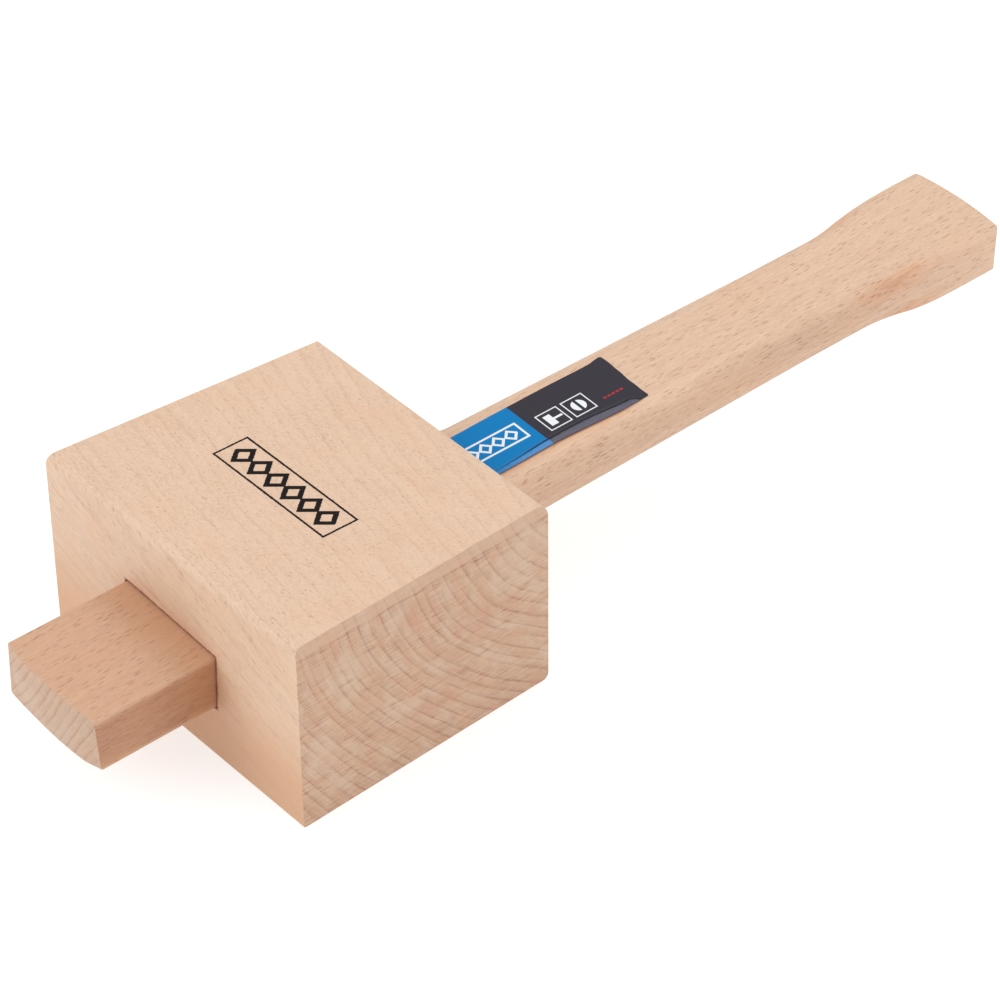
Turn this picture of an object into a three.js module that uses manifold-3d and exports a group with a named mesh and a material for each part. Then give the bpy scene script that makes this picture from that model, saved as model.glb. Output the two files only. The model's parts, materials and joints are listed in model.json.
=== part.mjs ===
// Joiner's mallet: a solid beech head with a through mortise, a tapered beech handle that passes
// through it, and a thin printed label on the handle.
// Millimetres, +Z up. The mallet lies on one cheek. X is the striking direction, the handle runs
// along Y with its grip end towards +Y, and the origin is the centre of the cheek it lies on.

import * as THREE from 'three';
import { ConvexGeometry } from 'three/addons/geometries/ConvexGeometry.js';
import { mergeVertices } from 'three/addons/utils/BufferGeometryUtils.js';
import Module from 'manifold-3d';

// ---- head ----
const HEAD_LENGTH_OUTER = 110;      // along X, at the outer face (-Y)
const HEAD_LENGTH_INNER = 99.4;     // along X, at the face on the grip side (+Y)
const HEAD_WIDTH = 88;              // along Y
const HEAD_THICKNESS = 59.3;        // cheek to cheek
const FACE_BEVEL_IN = 1.0;          // bevel along the upper edge of each striking face
const FACE_BEVEL_DOWN = 3.3;
const OUTER_ARRIS_RADIUS = 2.6;     // softened edge between the outer face and the upper cheek
const INNER_ARRIS_RADII = [0.6, 3.2];  // between the inner face and the upper cheek, -X and +X end
const INNER_LOWER_CHAMFER = 2.0;    // eased edge between the inner face and the lower cheek
const SMALL_ARRIS = 0.6;            // edge break between the outer face and the lower cheek

// ---- handle, in its own frame: origin where its centre line crosses the head's middle ----
const HANDLE_OFFSET_X = -0.8;       // the mortise sits slightly off the middle of the head
const HANDLE_OFFSET_Z = -1.0;
const HANDLE_TILT = 1.87;           // degrees, the grip end rises
const HANDLE_ROLL = 3.08;           // degrees, about the handle's own length
const HANDLE_YAW = -0.13;           // degrees, the grip end lies a little towards +X
const STUB_END = -82;               // corners of the end that stands out of the outer face
const GRIP_END = 246;               // corners of the grip end
const END_CROWN = 1.3;              // how far the middle of each end stands out past its corners
const STUB_WIDTH = 39.4;
const INNER_FACE_WIDTH = 38.9;      // where the handle leaves the head
const GRIP_WIDTH = 34.8;
const TAPER_STOP = 174;             // from here to the grip end the width stays the same
const STUB_THICKNESS = 17.7;
const INNER_FACE_THICKNESS = 16.8;
const SHAFT_THICKNESS = 16.1;
const THINNING_START = HEAD_WIDTH / 2 + 1;  // the handle thins to the shaft's thickness from here
const THINNING_LENGTH = 7;
const EDGE_RADIUS = 7.9;            // rounded long edges of the shaft
const ARRIS_MIN = 0.08;             // edge break in the shaft, and at the square ends
const ARRIS_MAX = 0.6;
const SQUARE_EDGE_LAND = 1.0;       // top width that the rounding keeps at the square ends
const ROUNDING_START = [46, 64];    // the rounding runs in over this length behind the head
const ROUNDING_END = [194.5, 233];  // and runs out over this length before the grip end

// ---- joint and label ----
const MORTISE_GAP = 0.36;           // clearance all round the handle
const MORTISE_OVERRUN = 1;          // how far the mortise's cut passes each face of the head
const LABEL_WIDTH = 20.7;
const LABEL_START = 54;
const LABEL_END = 114.6;
const LABEL_THICKNESS = 0.2;
const LABEL_LIFT = 0.25;            // between the film and the wood
const LABEL_CORNER_RADIUS = 0.7;

// ---- fineness ----
const CORNER_STEPS = 7;
const TOP_STEPS = 5;
const ARRIS_STEPS = 4;
const RUN_IN_STEPS = 6;             // sections where the shaft's rounding runs in
const RUN_OUT_STEPS = 11;           // and where it runs out
const LABEL_CORNER_STEPS = 6;
const MERGE_TOLERANCE = 1e-4;

const wasm = await Module();
wasm.setup();

const { lerp, smoothstep, degToRad } = THREE.MathUtils;

const headWood = new THREE.MeshStandardMaterial({ color: 0xe2c3a4, roughness: 0.62, metalness: 0 });
const handleWood = new THREE.MeshStandardMaterial({ color: 0xd3a684, roughness: 0.55, metalness: 0 });
const printedFilm = new THREE.MeshStandardMaterial({ color: 0x33343c, roughness: 0.35, metalness: 0 });

function toSolid(geometry) {
  const bare = geometry.clone();
  bare.deleteAttribute('normal');
  bare.deleteAttribute('uv');
  const merged = mergeVertices(bare, MERGE_TOLERANCE);
  const vertProperties = new Float32Array(merged.attributes.position.array);
  const triVerts = new Uint32Array(merged.index.array);
  return new wasm.Manifold(new wasm.Mesh({ numProp: 3, vertProperties, triVerts }));
}

function toGeometry(solid) {
  const mesh = solid.getMesh();
  const geometry = new THREE.BufferGeometry();
  geometry.setAttribute('position', new THREE.BufferAttribute(mesh.vertProperties, 3));
  geometry.setIndex(new THREE.BufferAttribute(mesh.triVerts, 1));
  geometry.computeVertexNormals();
  return geometry;
}

// Points [y, z] round one end of the head as seen along X, with z measured from the lower cheek.
function headOutline(innerArrisRadius) {
  const half = HEAD_WIDTH / 2;
  const points = [
    [-half, SMALL_ARRIS],
    [-half + SMALL_ARRIS, 0],
    [half - INNER_LOWER_CHAMFER, 0],
    [half, INNER_LOWER_CHAMFER],
    [half, HEAD_THICKNESS - FACE_BEVEL_DOWN],
    [-half, HEAD_THICKNESS - FACE_BEVEL_DOWN],
  ];
  for (const [side, radius] of [[-1, OUTER_ARRIS_RADIUS], [1, innerArrisRadius]]) {
    for (let i = 0; i <= ARRIS_STEPS; i += 1) {
      const angle = (Math.PI / 2) * (i / ARRIS_STEPS);
      points.push([
        side * (half - radius * (1 - Math.sin(angle))),
        HEAD_THICKNESS - radius * (1 - Math.cos(angle)),
      ]);
    }
  }
  return points;
}

// Half the head's length at a point of that outline: the head narrows towards the grip side, and
// the bevel takes the upper edge of each striking face back.
function headHalfLength(y, z) {
  const across = (y + HEAD_WIDTH / 2) / HEAD_WIDTH;
  const length = lerp(HEAD_LENGTH_OUTER, HEAD_LENGTH_INNER, across);
  const aboveBevel = Math.max(0, z - (HEAD_THICKNESS - FACE_BEVEL_DOWN));
  return length / 2 - FACE_BEVEL_IN * (aboveBevel / FACE_BEVEL_DOWN);
}

function headBlock() {
  const corners = [-1, 1].flatMap((side) => {
    const outline = headOutline(INNER_ARRIS_RADII[side < 0 ? 0 : 1]);
    return outline.map(([y, z]) => new THREE.Vector3(side * headHalfLength(y, z), y, z));
  });
  return new ConvexGeometry(corners);
}

// 1 where the handle's edges are square, 0 where they are fully rounded.
function squareness(y) {
  return 1 - smoothstep(y, ...ROUNDING_START) + smoothstep(y, ...ROUNDING_END);
}

function handleWidth(y) {
  const inner = HEAD_WIDTH / 2;
  if (y < inner) {
    return lerp(STUB_WIDTH, INNER_FACE_WIDTH, (y - STUB_END) / (inner - STUB_END));
  }
  return lerp(INNER_FACE_WIDTH, GRIP_WIDTH, Math.min(1, (y - inner) / (TAPER_STOP - inner)));
}

function handleThickness(y) {
  if (y < THINNING_START) {
    const along = (y - STUB_END) / (THINNING_START - STUB_END);
    return lerp(STUB_THICKNESS, INNER_FACE_THICKNESS, along);
  }
  const thinned = Math.min(1, (y - THINNING_START) / THINNING_LENGTH);
  return lerp(INNER_FACE_THICKNESS, SHAFT_THICKNESS, thinned);
}

// One quarter of the handle's cross-section at y, from the middle of its upper face to the middle
// of its +X side: flat, rounded edge, small edge break, flat.
function quarterSection(y) {
  const square = squareness(y);
  const halfWidth = handleWidth(y) / 2;
  const halfThickness = handleThickness(y) / 2;
  const arris = lerp(ARRIS_MIN, ARRIS_MAX, square);
  const shift = square * (EDGE_RADIUS - ARRIS_MAX - SQUARE_EDGE_LAND);
  const centreX = halfWidth - EDGE_RADIUS + shift;
  const centreZ = halfThickness - EDGE_RADIUS;
  const lastAngle = Math.acos((EDGE_RADIUS - shift - arris) / EDGE_RADIUS);
  const points = [];
  for (let i = 0; i < TOP_STEPS; i += 1) {
    points.push([(centreX * i) / TOP_STEPS, halfThickness]);
  }
  for (let i = 0; i <= CORNER_STEPS; i += 1) {
    const angle = lerp(Math.PI / 2, lastAngle, i / CORNER_STEPS);
    points.push([centreX + EDGE_RADIUS * Math.cos(angle), centreZ + EDGE_RADIUS * Math.sin(angle)]);
  }
  const edgeZ = points.at(-1)[1];
  points.push([halfWidth, edgeZ - arris]);
  return points;
}

// The upper half of the section from -X to +X; the lower half is its mirror image.
function halfSection(y) {
  const quarter = quarterSection(y);
  const left = quarter.slice(1).reverse().map(([x, z]) => [-x, z]);
  return [...left, ...quarter];
}

// A solid through a row of sections along Y. grow widens every section by that much all round,
// and crown is how far each end bulges out in the middle of its width.
function loft(stations, crown, grow) {
  const count = halfSection(0).length;
  const positions = [];
  stations.forEach((y, row) => {
    const half = halfSection(y);
    const reach = handleWidth(y) / 2;
    const side = (row === stations.length - 1) - (row === 0);
    const ring = [...half, ...half.map(([x, z]) => [x, -z])];
    for (const [x, z] of ring) {
      const bulge = side * crown * (1 - (x / reach) ** 2);
      positions.push(x + Math.sign(x) * grow, y + bulge, z + Math.sign(z) * grow);
    }
  });
  const index = [];
  const quad = (a, b, c, d) => index.push(a, b, c, a, c, d);
  const top = (row, i) => row * 2 * count + i;
  const bottom = (row, i) => row * 2 * count + count + i;
  for (let row = 0; row + 1 < stations.length; row += 1) {
    for (let i = 0; i + 1 < count; i += 1) {
      quad(top(row, i), top(row, i + 1), top(row + 1, i + 1), top(row + 1, i));
      quad(bottom(row, i), bottom(row + 1, i), bottom(row + 1, i + 1), bottom(row, i + 1));
    }
    quad(bottom(row, 0), top(row, 0), top(row + 1, 0), bottom(row + 1, 0));
    quad(top(row, count - 1), bottom(row, count - 1), bottom(row + 1, count - 1), top(row + 1, count - 1));
  }
  const last = stations.length - 1;
  for (let i = 0; i + 1 < count; i += 1) {
    quad(bottom(0, i), bottom(0, i + 1), top(0, i + 1), top(0, i));
    quad(top(last, i), top(last, i + 1), bottom(last, i + 1), bottom(last, i));
  }
  const geometry = new THREE.BufferGeometry();
  geometry.setAttribute('position', new THREE.Float32BufferAttribute(positions, 3));
  geometry.setIndex(index);
  geometry.computeVertexNormals();
  return geometry;
}

function evenly(from, to, steps) {
  return Array.from({ length: steps }, (_, i) => lerp(from, to, i / steps));
}

function handleStations() {
  return [
    STUB_END,
    THINNING_START,
    ...evenly(ROUNDING_START[0], ROUNDING_START[1], RUN_IN_STEPS),
    ROUNDING_START[1],
    (ROUNDING_START[1] + TAPER_STOP) / 2,
    TAPER_STOP,
    ...evenly(ROUNDING_END[0], ROUNDING_END[1], RUN_OUT_STEPS),
    ROUNDING_END[1],
    GRIP_END,
  ];
}

// Stands a piece in the handle's frame into the head's.
function placeOnHandle(object) {
  object.position.set(HANDLE_OFFSET_X, 0, HEAD_THICKNESS / 2 + HANDLE_OFFSET_Z);
  const turns = [HANDLE_TILT, HANDLE_ROLL, HANDLE_YAW].map((angle) => degToRad(angle));
  object.rotation.set(...turns, 'ZYX');
  object.updateMatrix();
}

function makeHead() {
  const mortise = new THREE.Object3D();
  placeOnHandle(mortise);
  const reach = HEAD_WIDTH / 2 + MORTISE_OVERRUN;
  const cutter = loft([-reach, reach], 0, MORTISE_GAP).applyMatrix4(mortise.matrix);
  const head = new THREE.Mesh(toGeometry(toSolid(headBlock()).subtract(toSolid(cutter))), headWood);
  head.name = 'head';
  return head;
}

function makeHandle() {
  const handle = new THREE.Mesh(loft(handleStations(), END_CROWN, 0), handleWood);
  handle.name = 'handle';
  return handle;
}

function makeLabel() {
  const halfWidth = LABEL_WIDTH / 2;
  const corner = LABEL_CORNER_RADIUS;
  const outline = new THREE.Shape();
  outline.moveTo(-halfWidth, LABEL_START);
  outline.lineTo(halfWidth, LABEL_START);
  outline.lineTo(halfWidth, LABEL_END - corner);
  outline.absarc(halfWidth - corner, LABEL_END - corner, corner, 0, Math.PI / 2);
  outline.lineTo(-halfWidth + corner, LABEL_END);
  outline.absarc(-halfWidth + corner, LABEL_END - corner, corner, Math.PI / 2, Math.PI);
  outline.closePath();
  const film = new THREE.ExtrudeGeometry(outline, {
    depth: LABEL_THICKNESS,
    bevelEnabled: false,
    curveSegments: LABEL_CORNER_STEPS,
  });
  const label = new THREE.Mesh(film, printedFilm);
  label.name = 'label';
  label.position.z = SHAFT_THICKNESS / 2 + LABEL_LIFT;
  return label;
}

const handleAssembly = new THREE.Group();
handleAssembly.add(makeHandle(), makeLabel());
placeOnHandle(handleAssembly);

const mallet = new THREE.Group();
mallet.name = 'wooden_mallet';
mallet.add(makeHead(), handleAssembly);

export default mallet;
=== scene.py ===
"""Joiner's mallet: beech head, tapered beech handle and printed film label.

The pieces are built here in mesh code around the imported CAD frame, with procedural materials.
Lengths are in millimetres and turn into metres where a mesh or an object is made.
"""
import json
import math
from dataclasses import dataclass

import bmesh
import bpy
from mathutils import Euler, Matrix, Quaternion, Vector

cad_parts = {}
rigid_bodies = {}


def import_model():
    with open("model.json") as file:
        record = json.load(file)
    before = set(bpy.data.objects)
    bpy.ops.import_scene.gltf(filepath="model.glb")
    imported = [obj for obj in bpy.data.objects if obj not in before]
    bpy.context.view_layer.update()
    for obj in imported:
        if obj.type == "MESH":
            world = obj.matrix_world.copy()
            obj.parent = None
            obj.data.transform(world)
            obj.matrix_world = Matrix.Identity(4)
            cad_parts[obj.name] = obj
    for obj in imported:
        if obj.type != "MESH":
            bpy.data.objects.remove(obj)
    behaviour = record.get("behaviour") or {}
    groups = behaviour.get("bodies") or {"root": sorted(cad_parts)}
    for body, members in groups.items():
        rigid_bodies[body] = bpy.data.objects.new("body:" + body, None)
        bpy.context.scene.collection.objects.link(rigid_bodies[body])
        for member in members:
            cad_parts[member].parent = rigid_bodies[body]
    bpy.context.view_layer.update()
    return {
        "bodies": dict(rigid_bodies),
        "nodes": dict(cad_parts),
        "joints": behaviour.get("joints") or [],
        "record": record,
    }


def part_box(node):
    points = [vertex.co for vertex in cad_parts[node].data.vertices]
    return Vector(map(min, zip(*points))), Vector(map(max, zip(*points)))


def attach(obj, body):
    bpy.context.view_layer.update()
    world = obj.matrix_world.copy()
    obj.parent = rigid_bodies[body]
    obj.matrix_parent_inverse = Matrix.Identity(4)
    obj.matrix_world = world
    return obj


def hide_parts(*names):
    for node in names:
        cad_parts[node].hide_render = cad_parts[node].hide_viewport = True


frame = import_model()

MM = 0.001

HEAD_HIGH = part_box("head")[1] / MM

# ---- head ----
HEAD_HALF_OUTER = HEAD_HIGH.x             # half length along X at the outer face (-Y)
HEAD_HALF_INNER = 49.7                    # and at the face on the grip side (+Y)
HEAD_HALF_WIDTH = HEAD_HIGH.y
HEAD_THICKNESS = HEAD_HIGH.z
FACE_BEVEL_IN = 1.0                       # bevel along the upper edge of each striking face
FACE_BEVEL_DOWN = 3.3
OUTER_ARRIS_RADIUS = 2.6
INNER_ARRIS_RADII = {-1: 0.6, 1: 3.2}     # at the -X and the +X end of the upper inner edge
LOWER_ARRIS_RADIUS = 2.0
SMALL_ARRIS_RADIUS = 0.6
ARRIS_STEPS = 8
FACE_ARRIS = 0.45                         # rounding round each striking face
FACE_ARRIS_STEPS = 7
FACES_ALONG_X = 0.9                       # a striking face's normal is at least this much along X
FACE_EDGE_ANGLE = 12.0                    # and its edges turn by more than this, in degrees

# ---- handle, in its own frame ----
HANDLE_OFFSET = Vector((-0.8, 0.0, HEAD_THICKNESS / 2 - 1.0))
HANDLE_TURN = Euler((math.radians(1.87), math.radians(3.08), math.radians(-0.13)), "XYZ")
STUB_END = -82.0
GRIP_END = 246.0
END_CROWN = 1.3
STUB_WIDTH = 39.4
INNER_FACE_WIDTH = 38.9
GRIP_WIDTH = 34.8
TAPER_STOP = 174.0
STUB_THICKNESS = 17.7
INNER_FACE_THICKNESS = 16.8
SHAFT_THICKNESS = 16.1
THINNING_LENGTH = 7.0                     # the shaft thins over this length behind the head
EDGE_RADIUS = 7.9
ARRIS_MIN = 0.08
ARRIS_MAX = 0.4
SQUARE_EDGE_LAND = 1.0
ROUNDING_START = (46.0, 64.0)
ROUNDING_END = (194.5, 233.0)
FAR_EDGE_DELAY = 4.5
FAR_EDGE_SQUARENESS = 0.86
END_ARRIS = 0.5
END_ARRIS_STEPS = 4
CROWN_REACH = 3.0                         # only sections this near an end follow its crown
NEAR_LOWER_WEAR = 0.9                     # at the outer end's lower corners, set back
FAR_LOWER_STANDS_OUT = 0.4                # and standing out
MORTISE_GAP = 0.36

# ---- label, in the handle's frame ----
LABEL_START = 54.0
LABEL_END = 115.15
LABEL_CORNER = 0.7
FILM_THICKNESS = 0.12
FILM_GAP = 0.02                           # between the film and the wood
RIDGE_HEIGHT = 0.42                       # of the crease where the film stands off the wood
RIDGE_FALL_START = 104.0                  # the crease gets lower from here to the label's end
RIDGE_FALL = 0.4
RIDGE_RISE = (-1.3, 0.3)                  # the film rises between these places beside the crease
STRIP_FALL = 0.8                          # and falls by this part of its height past the crease
STRIP_MIN_WIDTH = 0.3
PUFF_HEIGHT = 0.10
PUFF_RUN_OUT = 3.0
END_SLANT = 0.38                          # the label's end lies back by this on one side
END_WAVE = 0.06
END_SKEW_REACH = 10.0
LABEL_COLUMNS = 56
LABEL_ROWS = 70
LABEL_CORNER_STEPS = 7
# Lines along the label: x where each starts, then its bends as (from y, to y, change in x).
FAR_EDGE_LINE = (-10.65, [(61.0, 76.0, -0.22), (94.0, 109.0, 0.22), (110.0, 114.5, -0.6)])
NEAR_EDGE_LINE = (9.85, [(62.0, 80.0, -0.3), (80.0, 108.0, 1.15), (110.0, 115.0, -0.2)])
CREASE_LINE = (8.75, [(60.0, 84.0, -1.3), (92.0, 108.0, 1.2), (109.0, 113.5, 3.0)])


def lerp(a, b, t):
    return a + (b - a) * t


def sign(value):
    return (value > 0) - (value < 0)


def smoothstep(value, low, high):
    t = min(1.0, max(0.0, (value - low) / (high - low)))
    return t * t * (3 - 2 * t)


# ------------------------------------------------------------------ geometry

def link(name, mesh):
    piece = bpy.data.objects.new(name, mesh)
    bpy.context.scene.collection.objects.link(piece)
    return piece


def mesh_from(name, points, faces):
    """A mesh from points in millimetres, its faces turned outwards."""
    bm = bmesh.new()
    made = [bm.verts.new(Vector(p) * MM) for p in points]
    for face in faces:
        bm.faces.new([made[i] for i in face])
    bmesh.ops.recalc_face_normals(bm, faces=bm.faces)
    mesh = bpy.data.meshes.new(name)
    bm.to_mesh(mesh)
    bm.free()
    return mesh


def finish_shading(piece, sharp_angle):
    """Smooth shading that stays flat on flat faces, with sharp edges above an angle."""
    piece.data.polygons.foreach_set("use_smooth", [True] * len(piece.data.polygons))
    piece.data.set_sharp_from_angle(angle=math.radians(sharp_angle))
    weighted = piece.modifiers.new("flat faces", "WEIGHTED_NORMAL")
    weighted.keep_sharp = True
    weighted.weight = 100


def corner_arc(y, z, towards_y, towards_z, radius, steps=ARRIS_STEPS):
    """Points round a corner of the head's outline, from the side that runs along z."""
    centre_y, centre_z = y + towards_y * radius, z + towards_z * radius
    return [
        (
            centre_y - towards_y * radius * math.cos(math.pi / 2 * i / steps),
            centre_z - towards_z * radius * math.sin(math.pi / 2 * i / steps),
        )
        for i in range(steps + 1)
    ]


def head_half_length(y, z):
    """Half the head's length along X. It is less towards +Y and over the upper bevel."""
    across = (y + HEAD_HALF_WIDTH) / (2 * HEAD_HALF_WIDTH)
    above_bevel = max(0.0, z - (HEAD_THICKNESS - FACE_BEVEL_DOWN)) / FACE_BEVEL_DOWN
    return lerp(HEAD_HALF_OUTER, HEAD_HALF_INNER, across) - FACE_BEVEL_IN * above_bevel


def head_block():
    """The head without its mortise: the hull of both ends' outlines, striking faces rounded."""
    w, t = HEAD_HALF_WIDTH, HEAD_THICKNESS
    bm = bmesh.new()
    for side in (-1, 1):
        outline = [
            *corner_arc(-w, 0, 1, 1, SMALL_ARRIS_RADIUS),
            *corner_arc(w, 0, -1, 1, LOWER_ARRIS_RADIUS),
            *corner_arc(w, t, -1, -1, INNER_ARRIS_RADII[side]),
            *corner_arc(-w, t, 1, -1, OUTER_ARRIS_RADIUS),
            (-w, t - FACE_BEVEL_DOWN),
            (w, t - FACE_BEVEL_DOWN),
        ]
        for y, z in outline:
            bm.verts.new(Vector((side * head_half_length(y, z), y, z)) * MM)
    bmesh.ops.convex_hull(bm, input=bm.verts)
    bmesh.ops.dissolve_limit(bm, angle_limit=math.radians(0.5), verts=bm.verts, edges=bm.edges)
    bm.normal_update()
    face_edges = [
        edge
        for edge in bm.edges
        if any(abs(face.normal.x) > FACES_ALONG_X for face in edge.link_faces)
        and edge.calc_face_angle() > math.radians(FACE_EDGE_ANGLE)
    ]
    bmesh.ops.bevel(
        bm,
        geom=face_edges,
        offset=FACE_ARRIS * MM,
        segments=FACE_ARRIS_STEPS,
        profile=0.5,
        affect="EDGES",
        clamp_overlap=True,
    )
    mesh = bpy.data.meshes.new("head_block")
    bm.to_mesh(mesh)
    bm.free()
    return mesh


def squareness(y, far=False):
    """1 where the handle's long edges are square, 0 where they are fully rounded. The far (-X)
    edges of the grip stay a little rounded, and their rounding runs out later."""
    late = FAR_EDGE_DELAY if far else 0
    full = FAR_EDGE_SQUARENESS if far else 1
    run_out = smoothstep(y, ROUNDING_END[0] + late, ROUNDING_END[1] + late)
    return 1 - smoothstep(y, *ROUNDING_START) + full * run_out


def handle_width(y):
    inner = HEAD_HALF_WIDTH
    if y < inner:
        return lerp(STUB_WIDTH, INNER_FACE_WIDTH, (y - STUB_END) / (inner - STUB_END))
    taper = min(1.0, (y - inner) / (TAPER_STOP - inner))
    return lerp(INNER_FACE_WIDTH, GRIP_WIDTH, taper)


def handle_thickness(y):
    inner = HEAD_HALF_WIDTH + 1
    if y < inner:
        along = (y - STUB_END) / (inner - STUB_END)
        return lerp(STUB_THICKNESS, INNER_FACE_THICKNESS, along)
    return lerp(INNER_FACE_THICKNESS, SHAFT_THICKNESS, min(1.0, (y - inner) / THINNING_LENGTH))


def quarter_section(y, top_steps, corner_steps, far=False):
    """One quarter of the cross-section, from the middle of the top to the middle of the side."""
    square = squareness(y, far)
    half_width, half_thickness = handle_width(y) / 2, handle_thickness(y) / 2
    arris = lerp(ARRIS_MIN, ARRIS_MAX, square)
    shift = square * (EDGE_RADIUS - ARRIS_MAX - SQUARE_EDGE_LAND)
    centre_x = half_width - EDGE_RADIUS + shift
    centre_z = half_thickness - EDGE_RADIUS
    last_angle = math.acos((EDGE_RADIUS - shift - arris) / EDGE_RADIUS)
    points = [(centre_x * i / top_steps, half_thickness) for i in range(top_steps)]
    for i in range(corner_steps + 1):
        angle = lerp(math.pi / 2, last_angle, i / corner_steps)
        x = centre_x + EDGE_RADIUS * math.cos(angle)
        points.append((x, centre_z + EDGE_RADIUS * math.sin(angle)))
    edge_z = points[-1][1]
    for i in (1, 2, 3):
        turn = math.pi / 2 * i / 3
        points.append((half_width - arris * 0.3 * (1 - math.sin(turn)), edge_z - arris * i / 3))
    return points


def handle_ring(y, grow=0.0, top_steps=10, corner_steps=14):
    """The closed cross-section at y, anticlockwise, widened all round by grow."""
    near = quarter_section(y, top_steps, corner_steps)
    far = quarter_section(y, top_steps, corner_steps, far=True)
    top = [(-x, z) for x, z in reversed(far[1:])] + near
    ring = top + [(x, -z) for x, z in reversed(top)]
    return [(x + grow * sign(x), z + grow * sign(z)) for x, z in ring]


def handle_stations():
    """(y, inset) down the handle: even steps, closer where the edges round, arcs at the ends."""
    arc = [math.pi / 2 * i / END_ARRIS_STEPS for i in range(END_ARRIS_STEPS + 1)]
    start = [
        (STUB_END + END_ARRIS * (1 - math.sin(a)), END_ARRIS * (1 - math.cos(a)))
        for a in reversed(arc)
    ]
    end = [
        (GRIP_END - END_ARRIS * (1 - math.sin(a)), END_ARRIS * (1 - math.cos(a)))
        for a in arc
    ]
    inner = HEAD_HALF_WIDTH
    stops = [
        (STUB_END + END_ARRIS, -inner - 2, 3),
        (-inner - 2, inner, 6),
        (inner, ROUNDING_START[1], 14),
        (ROUNDING_START[1], TAPER_STOP, 12),
        (TAPER_STOP, ROUNDING_END[0], 3),
        (ROUNDING_END[0], ROUNDING_END[1], 26),
        (ROUNDING_END[1], GRIP_END - END_ARRIS, 8),
    ]
    middle = []
    for low, high, steps in stops:
        middle += [(lerp(low, high, i / steps), 0.0) for i in range(steps)]
    return start[:-1] + middle + end


def uneven_end(across, up):
    """How far the outer end lies back from its plain crown, from where a point lies on it: -1 to 1
    over its width and over its thickness. One lower corner is worn, the far side stands out."""
    near_lower = smoothstep(across, 0.68, 1.0) * smoothstep(-up, -0.2, 1.0)
    far_lower = smoothstep(-across, 0.3, 1.0) * smoothstep(-up, -1.0, 0.0)
    return NEAR_LOWER_WEAR * near_lower - FAR_LOWER_STANDS_OUT * far_lower


def loft(stations, crown, name, **ring_settings):
    """A closed mesh through the handle's cross-sections at the stations, ends crowned."""
    rows = []
    for y, inset in stations:
        half_width, half_thickness = handle_width(y) / 2, handle_thickness(y) / 2
        at_stub_end = smoothstep(-y, -STUB_END - CROWN_REACH, -STUB_END)
        at_grip_end = smoothstep(y, GRIP_END - CROWN_REACH, GRIP_END)
        crown_here = crown * (at_grip_end - at_stub_end)
        row = []
        for x, z in handle_ring(y, -inset, **ring_settings):
            across, up = x / half_width, z / half_thickness
            back = crown_here * (1 - across**2) + at_stub_end * uneven_end(across, up)
            row.append((x, y + back, z))
        rows.append(row)
    count = len(rows[0])
    faces = []
    for r in range(len(rows) - 1):
        for i in range(count):
            j = (i + 1) % count
            faces.append((r * count + i, r * count + j, (r + 1) * count + j, (r + 1) * count + i))
    for r in (0, len(rows) - 1):
        base = r * count
        for i in range(count // 2 - 1):
            faces.append((base + i, base + i + 1, base + count - 2 - i, base + count - 1 - i))
    return mesh_from(name, [p for row in rows for p in row], faces)


def handle_matrix():
    return Matrix.Translation(HANDLE_OFFSET * MM) @ HANDLE_TURN.to_matrix().to_4x4()


def head_piece():
    """The head with its mortise, which follows the handle's taper with a gap all round."""
    block = link("head_block", head_block())
    reach = HEAD_HALF_WIDTH + 1
    stations = [(-reach, -MORTISE_GAP), (reach, -MORTISE_GAP)]
    cutter = link("mortise_cutter", loft(stations, 0.0, "mortise", top_steps=4, corner_steps=4))
    cutter.matrix_world = handle_matrix()
    cut = block.modifiers.new("mortise", "BOOLEAN")
    cut.operation = "DIFFERENCE"
    cut.solver = "EXACT"
    cut.object = cutter
    bpy.context.view_layer.update()
    evaluated = block.evaluated_get(bpy.context.evaluated_depsgraph_get())
    mesh = bpy.data.meshes.new_from_object(evaluated)
    mesh.name = "mallet_head"
    for helper in (block, cutter):
        bpy.data.objects.remove(helper)
    head = link("mallet_head", mesh)
    finish_shading(head, 15)
    return head


def handle_piece():
    handle = link("mallet_handle", loft(handle_stations(), END_CROWN, "mallet_handle"))
    handle.matrix_world = handle_matrix()
    finish_shading(handle, 32)
    return handle


def wander(y, start, bends):
    """A line's place at y: where it starts, then (from, to, amount) for each of its bends."""
    return start + sum(amount * smoothstep(y, low, high) for low, high, amount in bends)


def film_edges(y):
    """The label's two long edges at y. The film isn't quite straight, and its corners are round."""
    into_corner = max(0.0, y - (LABEL_END - LABEL_CORNER)) / LABEL_CORNER
    corner = LABEL_CORNER * (1 - math.sqrt(max(0.0, 1 - into_corner**2)))
    return wander(y, *FAR_EDGE_LINE) + corner, wander(y, *NEAR_EDGE_LINE) - corner


def film_height(x, y):
    """How high the film's upper side stands above the wood."""
    left, right = film_edges(y)
    ridge = wander(y, *CREASE_LINE)
    crest = RIDGE_HEIGHT * (1 - RIDGE_FALL * smoothstep(y, RIDGE_FALL_START, LABEL_END))
    if x < ridge:
        raised = crest * smoothstep(x, ridge + RIDGE_RISE[0], ridge + RIDGE_RISE[1])
    else:
        raised = crest * (1 - STRIP_FALL * (x - ridge) / max(STRIP_MIN_WIDTH, right - ridge))
    puff = PUFF_HEIGHT * (1 - min(1.0, abs(x / left)) ** 4)
    puff *= 1 - smoothstep(y, LABEL_END - PUFF_RUN_OUT, LABEL_END)
    return FILM_THICKNESS + FILM_GAP + max(0.0, raised) + puff


def end_skew(x, y):
    """How far the label's end lies back: it was cut at a slight angle and a little wavy."""
    back = END_SLANT * math.tanh((x + 2) / 4) + END_WAVE * math.sin(x)
    return back * smoothstep(y, LABEL_END - END_SKEW_REACH, LABEL_END)


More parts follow.
